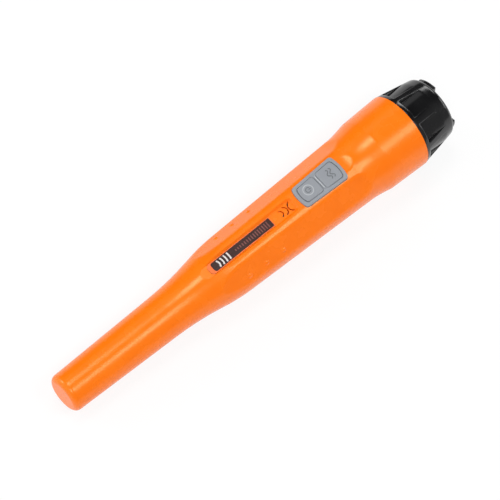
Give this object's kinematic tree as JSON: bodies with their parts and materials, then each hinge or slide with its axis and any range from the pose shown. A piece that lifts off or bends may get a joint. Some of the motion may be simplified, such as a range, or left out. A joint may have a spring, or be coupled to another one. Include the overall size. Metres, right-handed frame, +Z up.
{
  "type": "pinpointer",
  "caption": "Handheld pinpointer metal-detector probe: slim moulded body with a sensing tip, a decked handle with rubber keys, and a fluted screw cap over the battery bay.",
  "frame": {"origin": "centre of the box's underside, on the surface that the probe lies on", "axes": "+X from the probe's tip to the cap, +Z up out of the key deck, +Y to the left of the handle seen from the tip"},
  "size_m": [0.2382, 0.0398, 0.0408],
  "materials": {
    "housing_orange": "satin moulded plastic",
    "label_dark": "printed film",
    "keypad_grey": "matte silicone",
    "key_grey": "matte silicone",
    "switch_body": "moulded",
    "switch_stem": "moulded",
    "cap_black": "glossy moulded plastic",
    "seal_rubber": "soft rubber",
    "foam_grey": "foam",
    "battery_case": "wrapped metal",
    "contact_metal": "plated",
    "chassis_black": "moulded",
    "screw_steel": "zinc plated",
    "board_green": "solder mask",
    "chip_black": "epoxy",
    "can_silver": "satin can",
    "sounder_black": "moulded",
    "membrane_white": "vent film",
    "weight_steel": "sintered",
    "ferrite_dark": "ceramic",
    "former_white": "moulded",
    "coil_copper": "enamelled wire",
    "lead_red": "insulated"
  },
  "bodies": {
    "housing": {"main_housing": "housing_orange", "label_plate": "label_dark", "keypad_frame": "keypad_grey", "power_switch": "switch_body", "mode_switch": "switch_body", "battery": "battery_case", "battery_terminals": "contact_metal", "battery_contacts": "contact_metal", "chassis": "chassis_black", "bulkhead_seal": "seal_rubber", "bulkhead_screws": "screw_steel", "circuit_board": "board_green", "board_screws": "screw_steel", "main_chip": "chip_black", "capacitors": "can_silver", "sounder": "sounder_black", "sound_membrane": "membrane_white", "vibration_motor": "can_silver", "ferrite_rod": "ferrite_dark", "coil_former": "former_white", "search_coil": "coil_copper", "tip_cushion": "foam_grey", "coil_leads": "lead_red", "battery_leads": "lead_red"},
    "cap_seal": {"cap_o_ring": "seal_rubber"},
    "cap": {"battery_cap": "cap_black", "cap_pad": "foam_grey"},
    "power_button": {"power_key": "key_grey", "power_switch_stem": "switch_stem"},
    "mode_button": {"mode_key": "key_grey", "mode_switch_stem": "switch_stem"},
    "motor_rotor": {"motor_weight": "weight_steel"}
  },
  "joints": [
    {"name": "cap_travel", "type": "slide", "parent": "housing", "child": "cap_seal", "axis": [0.9989, 0, 0.0478], "range_m": [0, 0.0101]},
    {"name": "cap_turn", "type": "hinge", "parent": "cap_seal", "child": "cap", "pos_m": [0.09454, 0, 0.02088], "axis": [0.9989, 0, 0.0478], "range_deg": [0, 1440]},
    {"name": "power_press", "type": "slide", "parent": "housing", "child": "power_button", "axis": [0.0785, 0, -0.9969], "range_m": [0, 0.0006], "stiffness_N_per_m": 600},
    {"name": "mode_press", "type": "slide", "parent": "housing", "child": "mode_button", "axis": [0.0785, 0, -0.9969], "range_m": [0, 0.0006], "stiffness_N_per_m": 600},
    {"name": "motor_spin", "type": "hinge", "parent": "housing", "child": "motor_rotor", "pos_m": [-0.00986, 0, 0.01499], "axis": [0.9969, 0, 0.0785], "continuous": true}
  ],
  "couplings": [
    {"joint": "cap_travel", "follows": "cap_turn", "m_per_rad": 0.00039789}
  ]
}
